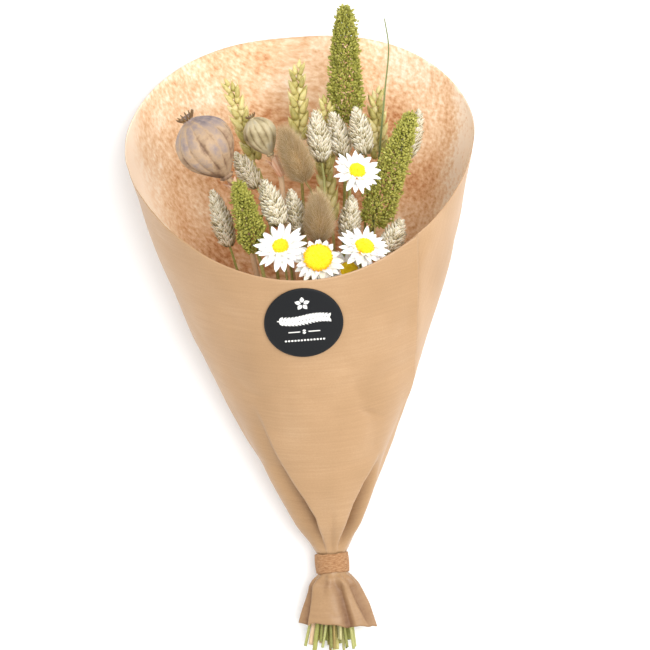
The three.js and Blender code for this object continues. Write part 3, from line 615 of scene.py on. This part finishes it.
def copies(points, faces, places, ways, ups, sizes, tones):
    """Copies of a small shape: its third axis goes along ways, its second towards ups."""
    ways = ways / np.linalg.norm(ways, axis=1, keepdims=True)
    sides = np.cross(ups, ways)
    sides /= np.maximum(1e-6, np.linalg.norm(sides, axis=1, keepdims=True))
    turn = np.stack([sides, np.cross(ways, sides), ways], 1)
    out = np.einsum("npk,nkd->npd", points[None] * sizes[:, None, :], turn) + places[:, None, :]
    offsets = (np.arange(len(places)) * len(points))[:, None, None]
    all_faces = (faces[None] + offsets).reshape(-1, faces.shape[1])
    return out.reshape(-1, 3), all_faces, np.repeat(tones, len(points))


def round_axis(turn, out, high):
    """Points at a distance out from a head's axis, at a height along it."""
    turn, out, high = np.broadcast_arrays(turn, out, high)
    return np.stack([np.cos(turn) * out, np.sin(turn) * out, high], -1)


def pointed_grain(sides=8, rows=8, point=0.75):
    """A closed pointed seed, one unit long and one unit across."""
    t, angle = round_grid(rows, sides)
    wide = 0.5 * np.sin(math.pi * t ** point) ** 0.8
    wide[0], wide[-1] = 0.02, 0.01
    return round_axis(angle, wide, t).reshape(-1, 3), grid_faces(rows, sides, wrap=True)


def head_piece(kind, number, part, points, faces, material, tones, start, axes):
    node, slot_name = f"{kind}_{number}_head", f"{kind}_head"
    made = mesh_piece(f"{kind}_{number}_{part}", points @ axes + start, faces, [material], {"tone": tones})
    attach(made, "root")
    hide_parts(node)


def join_parts(parts):
    """Joins (points, faces, tones) parts into one set."""
    points, faces, tones, count = [], [], [], 0
    for p, f, t in parts:
        points.append(p)
        faces.append(f + count)
        tones.append(t)
        count += len(p)
    by_size = {}
    for f in faces:
        by_size.setdefault(f.shape[1], []).append(f)
    return np.concatenate(points), [np.concatenate(f) for f in by_size.values()], np.concatenate(tones)


# Husks: green-gold with a slight gloss, the beaks and edges paler.
husk_tones = [(0.0, "#7f7838"), (0.35, "#b4a85e"), (0.65, "#d7c986"), (1.0, "#f2e6ba")]
wheat_husk = plant_material("wheat_husk", husk_tones, 0.6, 500, 0.1)
# Each husk of a spikelet: its place across the ear, its lift and how far it leans out.
husk_places = ((-0.95, 0.0, 0.4), (0.95, 0.0, 0.4), (-0.3, 2.2, 0.5), (0.3, 2.2, 0.5), (0, 4.2, 0.2))


def wheat_ear(number):
    start, axes, length, _ = head_frame("wheat", number)
    rng = np.random.default_rng(100 + number)
    grain, faces = pointed_grain(8, 9, 0.62)
    step = 4.3
    count = int((length - 9) / step)
    places, ways, ups, sizes, tones = [], [], [], [], []
    for k in range(count):
        side = 1 if k % 2 else -1
        share = k / max(1, count - 1)
        big = 0.82 + 0.3 * math.sin(math.pi * min(1, 0.25 + 0.75 * share)) - 0.12 * share
        for fan, lift, outward in husk_places:
            places.append((side * 4.2 * outward, fan * 1.9, 1 + k * step + lift))
            ways.append((side * outward + rng.normal(0, 0.04), fan * 0.34 + rng.normal(0, 0.04), 1))
            ups.append((side, fan * 0.5, 0))
            sizes.append((5.2 * big, 4.6 * big, rng.uniform(8.8, 10.0) * big))
            tones.append(rng.uniform(0.35, 0.85) - 0.12 * abs(fan))
    places, ways, ups, sizes = (np.array(v, float) for v in (places, ways, ups, sizes))
    husks = copies(grain, faces, places, ways, ups, sizes, np.array(tones))
    beak, beak_faces = pointed_grain(4, 4, 0.3)
    tips = places + ways / np.linalg.norm(ways, axis=1, keepdims=True) * sizes[:, 2:] * 0.93
    keep = rng.random(len(tips)) < 0.6
    count = keep.sum()
    beak_sizes = np.stack([np.full(count, 0.5), np.full(count, 0.5), rng.uniform(1.5, 4.5, count)], -1)
    beaks = copies(beak, beak_faces, tips[keep], ways[keep] * (0.8, 0.8, 1), ups[keep], beak_sizes,
                   np.full(count, 0.9))
    points, faces, tones = join_parts([husks, beaks])
    points[:, 2] *= min(1, (length + 1) / points[:, 2].max())
    head_piece("wheat", number, "ear", points, faces, wheat_husk, tones, start, axes)


for number in range(1, 6):
    wheat_ear(number)


# ---- Foxtail ---------------------------------------------
# Dense olive spikes of tiny seeds in tight bunches, bristling with short stiff awns.
# Seeds: dull olive with darker gaps, the bristles and tips yellower.
seed_tones = [(0.0, "#66651f"), (0.3, "#878631"), (0.6, "#a3a043"), (1.0, "#c6c16a")]
foxtail_seed = plant_material("foxtail_seed", seed_tones, 0.7, 600, 0.15)

# Seeds, scales and florets each stand a golden angle on from the one below, as they do on a plant.
golden_turn = 2.399963


def foxtail_spike(number):
    start, axes, length, radius = head_frame("foxtail", number)
    rng = np.random.default_rng(200 + number)
    grain, faces = pointed_grain(6, 6, 0.9)
    bunches = int(length * 5.4)
    seeds = 7
    k = np.arange(bunches)
    share = (k + 0.5) / bunches
    outline = np.minimum(1, 0.6 + 2.4 * share) * (1.3 - 0.86 * share ** 1.5)
    outline *= np.sqrt(np.clip(1 - share ** 14, 0, 1))
    turn = k * golden_turn
    core = round_axis(turn, outline * radius * 0.66, share * length * 0.97)
    places = np.repeat(core, seeds, axis=0) + rng.normal(0, 0.95, (bunches * seeds, 3))
    ways = np.repeat(round_axis(turn, 1.0, 0.75), seeds, axis=0) + rng.normal(0, 0.45, (bunches * seeds, 3))
    ways_out = ways / np.linalg.norm(ways, axis=1, keepdims=True)
    reach = np.repeat(outline, seeds)[:, None] * radius * 0.4
    places = places + ways_out * reach * rng.uniform(0.2, 1.1, (len(ways), 1))
    tones = np.repeat(rng.uniform(0.35, 0.72, bunches), seeds) + rng.normal(0, 0.12, len(places))
    tones = tones + (0.1 if number == 2 else 0.0)
    spans = ((1.2, 1.6), (1.1, 1.4), (2.0, 2.8))
    sizes = np.stack([rng.uniform(low, high, len(places)) for low, high in spans], -1)
    seeding = copies(grain, faces, places, ways, np.cross(ways, (0.3, 0.2, 1.0)), sizes, tones)
    bristle, bristle_faces = pointed_grain(3, 3, 0.3)
    count = int(length * 14)
    pick = rng.integers(0, len(places), count)
    bristle_ways = ways[pick] * (0.75, 0.75, 1) + rng.normal(0, 0.15, (count, 3)) + (0, 0, 0.45)
    bristle_sizes = np.stack([np.full(count, 0.16), np.full(count, 0.16), rng.uniform(3.5, 6.0, count)], -1)
    ups = np.cross(bristle_ways, (0.3, 0.2, 1.0))
    bristles = copies(bristle, bristle_faces, places[pick], bristle_ways, ups, bristle_sizes,
                      rng.uniform(0.6, 1.0, count))
    points, faces, tones = join_parts([seeding, bristles])
    head_piece("foxtail", number, "spike", points, faces, foxtail_seed, tones, start, axes)


for number in range(1, 4):
    foxtail_spike(number)


# ---- Canary grass ----------------------------------------
# Egg-shaped cream heads of overlapping folded scales, each with a darker vein on either side of
# its keel. Painted shade darkens the foot of each scale and the core, in the gaps between the scales.
# Scales: thin and cream-coloured, so a little light glows through them.
scale_tones = [(0.0, "#6a5f3a"), (0.28, "#ad9e74"), (0.5, "#e0d4b8"), (1.0, "#f8f2e4")]
canary_scale = plant_material("canary_grass_scale", scale_tones, 0.75, 450, 0.2, 0.2)


def keeled_scale(rows=8, columns=7, fold=0.55, peak=0.7):
    """A folded, pointed scale, one unit long and one unit wide, its keel towards the second axis."""
    t, s = np.meshgrid(np.linspace(0, 1, rows), np.linspace(-1, 1, columns), indexing="ij")
    wide = 0.5 * np.sin(math.pi * np.clip(0.12 + 0.88 * t, 0, 1) ** peak) ** 0.75
    x = s * wide
    y = -np.abs(s) ** 1.3 * wide * fold * 2 + 0.12 * np.sin(math.pi * t)
    return np.stack([x, y, t], -1).reshape(-1, 3), grid_faces(rows, columns), 1 - np.abs(s.ravel())


def canary_head(number):
    start, axes, length, radius = head_frame("canary_grass", number)
    rng = np.random.default_rng(300 + number)
    scale, faces, keel = keeled_scale()
    count = int(length * 5.2)
    k = np.arange(count)
    share = (k + 0.5) / count
    bend = np.clip(0.05 + 0.95 * share, 0, 1) ** 0.75
    outline = np.sin(math.pi * bend) ** 0.72
    turn = k * golden_turn
    places = round_axis(turn, outline * radius * 0.62, share * length * 0.82)
    ways = round_axis(turn, 0.72 - 0.5 * share, 1.0) + rng.normal(0, 0.07, (count, 3))
    ups = round_axis(turn, 1.0, 0.0)
    long = rng.uniform(6.0, 7.6, count) * (1 - 0.15 * share)
    sizes = np.stack([long * 0.66, long * 0.5, long], -1)
    tones = rng.uniform(0.5, 0.95, count)
    # Painted light: heads that sit low in the bunch, in its shade, get paler scales and core.
    painted_light_when_low = 0.16 * (1 - ease(start[1] - tie_centre[1], 150, 215))
    points, faces, tones = copies(scale, faces, places, ways, ups, sizes, tones)
    vein = np.abs(np.tile(keel, count) - 0.55) < 0.12
    # Painted shade: each scale darkens towards its foot, where it sits in among the scales around it.
    foot = (1 - np.repeat(np.linspace(0, 1, 8), 7)) ** 2.2
    tones = tones - 0.5 * vein - 0.6 * np.tile(foot, count) + painted_light_when_low
    core, core_faces = pointed_grain(12, 10, 0.85)
    core = core * (radius * 1.25, radius * 1.25, length * 0.9)
    # The core gets the darkest tone: painted shade showing in the gaps between the scales.
    core_tones = np.zeros(len(core)) + painted_light_when_low
    points, faces, tones = join_parts([(points, faces, tones), (core, core_faces, core_tones)])
    points[:, 2] *= min(1, (length + 1) / points[:, 2].max())
    head_piece("canary_grass", number, "panicle", points, faces, canary_scale, tones, start, axes)


for number in range(1, 11):
    canary_head(number)


# ---- Bunny tails -----------------------------------------
# Soft egg-shaped tufts of fine cream-tan hairs that stand out from a small core.
# Hair: brown at the core and cream at the tips, without gloss, which makes the tuft look soft.
hair_tones = [(0.0, "#8f6f43"), (0.35, "#b8945f"), (0.65, "#d3b683"), (1.0, "#efdcb6")]
bunny_hair = plant_material("bunny_tail_hair", hair_tones, 0.9, 300, 0.2, 0.2)


def bunny_tail(number):
    start, axes, length, radius = head_frame("bunny_tail", number)
    rng = np.random.default_rng(400 + number)
    core, core_faces = pointed_grain(14, 12, 0.8)
    core = core * (radius * 1.25, radius * 1.25, length * 0.86)
    t, angle = round_grid(5, 3)
    hair = round_axis(angle, 0.5 * (1 - 0.85 * t), t)
    hair[..., 1] += 0.72 * t ** 2
    hair = hair.reshape(-1, 3)
    hair_faces = grid_faces(5, 3, wrap=True)
    count = 5600
    share = rng.random(count) ** 0.9
    turn = rng.random(count) * 2 * math.pi
    outline = np.sin(math.pi * np.clip(0.06 + 0.94 * share, 0, 1) ** 0.8) ** 0.6
    places = round_axis(turn, outline * radius * 0.5, share * length * 0.8)
    ways = round_axis(turn, 1.0 - 0.75 * share, 0.85) + rng.normal(0, 0.16, (count, 3))
    long = rng.uniform(6.0, 10.5, count)
    sizes = np.stack([np.full(count, 0.15), np.full(count, 1.2), long], -1)
    ups = np.cross(ways, np.stack([-np.sin(turn), np.cos(turn), np.zeros(count)], -1))
    hairs = copies(hair * (1, 0.15, 1), hair_faces, places, ways, ups, sizes,
                   rng.uniform(0.35, 1.0, count))
    points, faces, tones = join_parts([hairs, (core, core_faces, np.full(len(core), 0.25))])
    tones -= 0.05 if number == 1 else 0.0
    head_piece("bunny_tail", number, "tuft", points, faces, bunny_hair, tones, start, axes)


for number in range(1, 4):
    bunny_tail(number)


# ---- Poppy capsules --------------------------------------
# Dry woody seed capsules: a jointed neck, a ribbed round pod and a flat scalloped crown with a ridge
# on each ray. A shred of withered leaf still wraps each stalk just below its capsule.
# Capsule skins: dry and woody. The large one turns mauve-grey towards its crown, the small one is olive.
mauve_tones = [(0.0, "#4a3426"), (0.25, "#84674e"), (0.5, "#b39677"), (0.75, "#94827a"), (1.0, "#6e6264")]
olive_tones = [(0.0, "#63543a"), (0.25, "#9a8963"), (0.5, "#c0b18c"), (0.75, "#b3a98f"), (1.0, "#8b8374")]
poppy_skins = {
    1: plant_material("poppy_capsule_skin", mauve_tones, 0.6, 260, 0.0, 0.75, 0.6),
    2: plant_material("olive_poppy_capsule_skin", olive_tones, 0.6, 260, 0.0, 0.6, 0.5),
}
# Crown: dull straw, darker towards its edge.
crown_tones = [(0.0, "#3d2c20"), (0.4, "#7b5c3a"), (0.75, "#b89a5e"), (1.0, "#dcc58c")]
poppy_crown = plant_material("poppy_crown", crown_tones, 0.75, 600)
# Withered leaf: a thin pink-tan skin, with a painted highlight that makes it paler towards its upper edge.
withered_tones = [(0.0, "#a8704e"), (0.4, "#d79f7c"), (0.7, "#ecc2a2"), (1.0, "#f6dcc6")]
withered_leaf = plant_material("withered_poppy_leaf", withered_tones, 0.75, 500, 0.1, 0.3)


def poppy_capsule(number):
    start, axes, length, radius = head_frame("poppy", number)
    rows, sides, rays, crown_rows = 90, 160, 13, 14
    t, angle = round_grid(rows, sides)
    swell = np.clip((t - 0.05) / 0.87, 0, 1)
    pod = 0.2 + 0.8 * np.sin(math.pi * swell ** 1.3) ** 0.66
    wide = np.where(t < 0.05, 0.2 + 0.08 * np.exp(-((t - 0.03) / 0.012) ** 2), pod)
    body = ease(t, 0.08, 0.26) * (1 - ease(t, 0.84, 0.94))
    rib = (np.abs(np.cos(angle * rays / 2)) ** 0.55 - 0.6) * 0.1 * body
    spots = round_axis(angle, 1.6, t * 4 + number).reshape(-1, 3)
    dent = np.array([noise.noise(Vector(p)) for p in spots]).reshape(t.shape)
    wide = wide * (1 + rib) + dent * 0.035 * body
    radius *= 1.07
    points = round_axis(angle, wide * radius, t * length * 0.96)
    mauve = 0.42 if number == 1 else 0.1
    tones = 0.34 + mauve * ease(t, 0.45, 0.9) + 2.8 * rib + 0.35 * dent
    head_piece("poppy", number, "capsule", points.reshape(-1, 3), [grid_faces(rows, sides, wrap=True)],
               poppy_skins[number], tones.ravel(), start, axes)
    ring, side = round_grid(crown_rows, sides)
    lobe = np.abs(np.cos(side * rays / 2))
    out = radius * 0.34 * (0.62 + 0.42 * lobe ** 2.2) * ring
    ridge = 0.08 * radius * lobe ** 6 * (ring > 0.12) * (1 - 0.4 * ring)
    up = length * (0.905 + 0.07 * ring ** 2.2 * (0.35 + 0.65 * lobe ** 2)) + ridge
    top = round_axis(side, out, up).reshape(-1, 3)
    under = top - np.array([0, 0, 0.045 * radius + 0.3])
    faces = grid_faces(crown_rows, sides, wrap=True)
    edge = np.arange(sides) + (crown_rows - 1) * sides
    rim = np.stack([edge, np.roll(edge, -1), np.roll(edge, -1) + len(top), edge + len(top)], -1)
    tone = 0.6 + 0.35 * lobe ** 6 * (1 - ring) - 0.3 * ring ** 3
    crown = mesh_piece(f"poppy_{number}_crown", np.concatenate([top, under]) @ axes + start,
                       [np.concatenate([faces, faces[:, ::-1] + len(top), rim])],
                       [poppy_crown], {"tone": np.tile(tone.ravel(), 2)})
    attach(crown, "root")
    t, side = round_grid(14, 36)
    point = (np.cos(side * 1.5 + number) ** 2) ** 0.7
    flare = 2.3 + 1.1 * t + 1.6 * t ** 4 * point
    husk = round_axis(side, flare, -15 + t * (9.5 + 4.5 * point)).reshape(-1, 3)
    # Tones rise towards the flared upper edge: a painted highlight.
    husk = mesh_piece(f"poppy_{number}_withered_sheath", husk @ axes + start, [grid_faces(14, 36, wrap=True)],
                      [withered_leaf], {"tone": (0.4 + 0.3 * t + 0.15 * np.cos(side * 9)).ravel()})
    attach(husk, "root")


for number in range(1, 3):
    poppy_capsule(number)


# ---- Everlasting daisies ---------------------------------
# Papery white pointed bracts in three rings round a domed yellow centre of tiny florets, held
# by a small green cup.
# Bracts: white and papery with a satin sheen; a little light glows through them.
bract_tones = [(0.0, "#dcd6c2"), (0.4, "#f4f2ea"), (0.7, "#fcfbf7"), (1.0, "#ffffff")]
daisy_bract = plant_material("daisy_bract", bract_tones, 0.5, 350, 0.25, 0.15, 0.15)
# Florets: bright yellow, deeper round the edge of the disc.
floret_tones = [(0.0, "#cf8608"), (0.3, "#f0b908"), (0.6, "#fbd90c"), (1.0, "#fff03c")]
daisy_floret = plant_material("daisy_floret", floret_tones, 0.7, 500, 0.1, 0.2)
# Cup: dull green-brown.
daisy_cup = plant_material("daisy_cup", [(0.0, "#5d5a2c"), (0.5, "#8c8a4c"), (1.0, "#b9b47a")], 0.8)
disc_share = {1: 0.38, 2: 0.33, 3: 0.55, 4: 0.4, 5: 0.42}
# Rings of bracts, outer to inner: how many, reach, height up the head, rise and width.
bract_rings = ((17, 1.1, 0.42, 0.02, 4.2), (15, 0.96, 0.5, 0.2, 3.9), (13, 0.74, 0.58, 0.45, 3.4))


def daisy_head(number):
    start, axes, length, radius = head_frame("daisy", number)
    rng = np.random.default_rng(600 + number)
    middle = radius * disc_share[number]
    domed = 0.56 if number == 3 else 0.36
    rows, columns = 11, 7
    t, s = np.meshgrid(np.linspace(0, 1, rows), np.linspace(-1, 1, columns), indexing="ij")
    wide = 0.5 * np.sin(math.pi * (0.16 + 0.84 * t) ** 1.2) ** 0.72
    wide[-1] = 0.01
    parts = []
    for count, reach, lift, rise, broad in bract_rings:
        for k in range(count):
            turn = 2 * math.pi * (k + 0.5 * rng.random() + 0.2 * count) / count
            long = (radius * reach - middle * 0.45) * rng.uniform(0.9, 1.06)
            up = rise + rng.normal(0, 0.07) - (0.42 if number == 3 else 0.0)
            curl = rng.uniform(-0.5, 1.6)
            along = middle * 0.45 + t * long * math.cos(up)
            across = s * wide * broad * rng.uniform(0.88, 1.1) * radius / 15
            cupped = s ** 2 * 0.55 * np.sin(math.pi * t)
            high = lift * length + t * long * math.sin(up) + curl * t ** 2 + cupped + 0.2 * rng.random()
            x = along * math.cos(turn) - across * math.sin(turn)
            y = along * math.sin(turn) + across * math.cos(turn)
            crease = 0.1 * (np.abs(s) < 0.2) * (t < 0.7)
            tones = 0.62 + 0.18 * t - crease - 0.35 * (1 - t) ** 3 + rng.normal(0, 0.06)
            tones = tones - (rng.uniform(0.1, 0.5) if number == 3 else 0.0)
            bract = np.stack([x, y, high], -1).reshape(-1, 3)
            parts.append((bract, grid_faces(rows, columns), tones.ravel()))
    points, faces, tones = join_parts(parts)
    head_piece("daisy", number, "bracts", points, faces, daisy_bract, tones, start, axes)
    grain, grain_faces = pointed_grain(6, 5, 1.0)
    count = int(34 * middle)
    k = np.arange(count)
    out = np.sqrt((k + 0.5) / count)
    turn = k * golden_turn
    dome = np.sqrt(np.clip(1 - (out * 0.94) ** 2, 0, 1))
    places = round_axis(turn, out * middle, length * 0.56 + dome * length * domed)
    ways = round_axis(turn, out * 0.9, 0.7)
    size = 0.85 * middle / 6
    wide = np.full(count, size * 1.25)
    sizes = np.stack([wide, wide, rng.uniform(1.5, 2.1, count) * size], -1)
    tones = 0.72 - 0.55 * out ** 6 + rng.normal(0, 0.1, count)
    florets = copies(grain, grain_faces, places - ways * 0.5, ways, np.cross(ways, (0.2, 0.1, 1.0)),
                     sizes, tones)
    ring, side = round_grid(10, 32)
    dome = length * 0.54 + np.sqrt(np.clip(1 - ring ** 2, 0, 1)) * length * (domed - 0.02)
    base = round_axis(side, ring * middle, dome).reshape(-1, 3)
    cushion = (base, grid_faces(10, 32, wrap=True), np.full(len(base), 0.3))
    points, faces, tones = join_parts([florets, cushion])
    eye = mesh_piece(f"daisy_{number}_eye", points @ axes + start, faces, [daisy_floret], {"tone": tones})
    t, side = round_grid(12, 28)
    cup_wide = 1.0 + (middle * 0.95 - 1.0) * np.sin(t * math.pi / 2) ** 1.2 + 0.18 * np.cos(side * 7) * t
    cup = round_axis(side, cup_wide, t * length * 0.5).reshape(-1, 3)
    green = mesh_piece(f"daisy_{number}_cup", cup @ axes + start, [grid_faces(12, 28, wrap=True)],
                       [daisy_cup], {"tone": (0.3 + 0.5 * t + 0.15 * np.cos(side * 14)).ravel()})
    for piece in (eye, green):
        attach(piece, "root")


for number in range(1, 6):
    daisy_head(number)


# ---- Grass blade -----------------------------------------
# One long dry blade, folded along its midrib and drawn out to a thread at the tip.
# Blade: dark green, drying to grey-green.
blade_tones = [(0.0, "#3b4420"), (0.4, "#5d6834"), (0.7, "#7f8650"), (1.0, "#a9aa78")]
blade_skin = plant_material("grass_blade_skin", blade_tones, 0.65, 500)
line = smooth_line(centre_line("grass_blade"), 2.5)
_, side, up = frames_along(line)
share = np.linspace(0, 1, len(line))
wide = 1.3 * np.minimum(1, 0.5 + 2 * share) * np.clip(1.05 - share, 0.05, 1) ** 0.45
across = np.array([-1.0, -0.5, 0.0, 0.5, 1.0])
points = line[:, None, :] + side[:, None, :] * (across[None, :, None] * wide[:, None, None])
points = points + up[:, None, :] * (np.abs(across)[None, :, None] * 0.45 * wide[:, None, None])
tones = 0.55 + 0.2 * np.sin(share * 9)[:, None] - 0.3 * (across == 0)[None, :]
blade = mesh_piece("long_grass_blade", points.reshape(-1, 3), [grid_faces(len(line), len(across))],
                   [blade_skin], {"tone": tones.ravel()})
thicken(blade, "blade_thickness", 0.0002, 0)
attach(blade, "root")
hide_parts("grass_blade")


# ---- Table, light and camera -----------------------------
# A plain white table, a broad soft light above and to the right, and a camera straight overhead.
# Table: matt white, so that only the soft shadow under the bunch marks it.
table_white = new_material("white_table", {"Base Color": linear("#fbfbfb"), "Roughness": 0.9})[0]
table_half = 4000.0
corners = [(-table_half, -table_half, 0), (table_half, -table_half, 0),
           (table_half, table_half, 0), (-table_half, table_half, 0)]
table = mesh_piece("table", corners, [[(0, 1, 2, 3)]], [table_white])

world = bpy.data.worlds.new("studio")
bpy.context.scene.world = world
world.use_nodes = True
world.node_tree.nodes["Background"].inputs["Color"].default_value = (1, 1, 1, 1)
world.node_tree.nodes["Background"].inputs["Strength"].default_value = 0.88
bpy.context.scene.view_settings.view_transform = "Standard"


def soft_light(name, place, aim, size, power):
    lamp = bpy.data.lights.new(name, "AREA")
    lamp.shape = "SQUARE"
    lamp.size = size
    lamp.energy = power
    made = bpy.data.objects.new(name, lamp)
    made.location = place
    made.rotation_euler = (Vector(aim) - Vector(place)).to_track_quat("-Z", "Y").to_euler()
    bpy.context.scene.collection.objects.link(made)


soft_light("key_softbox", (0.6, 0.1, 1.8), (0, 0.05, 0.05), 1.1, 26)
soft_light("fill_softbox", (-1.1, 0.7, 1.7), (0, 0.05, 0.05), 1.3, 9)
soft_light("edge_strip", (1.5, 0.0, 0.55), (0, 0.0, 0.05), 0.5, 4)

lens = bpy.data.cameras.new("overhead_camera")
lens.sensor_width = 36
lens.lens = 130.3
lens.clip_start = 0.05
lens.clip_end = 20
camera = bpy.data.objects.new("overhead_camera", lens)
camera.location = ((tie_centre[0] + 7.3) / 1000, (tie_centre[1] + 160.3) / 1000, 1.6)
camera.rotation_euler = (0, 0, -math.radians(4.3))
bpy.context.scene.collection.objects.link(camera)
bpy.context.scene.camera = camera
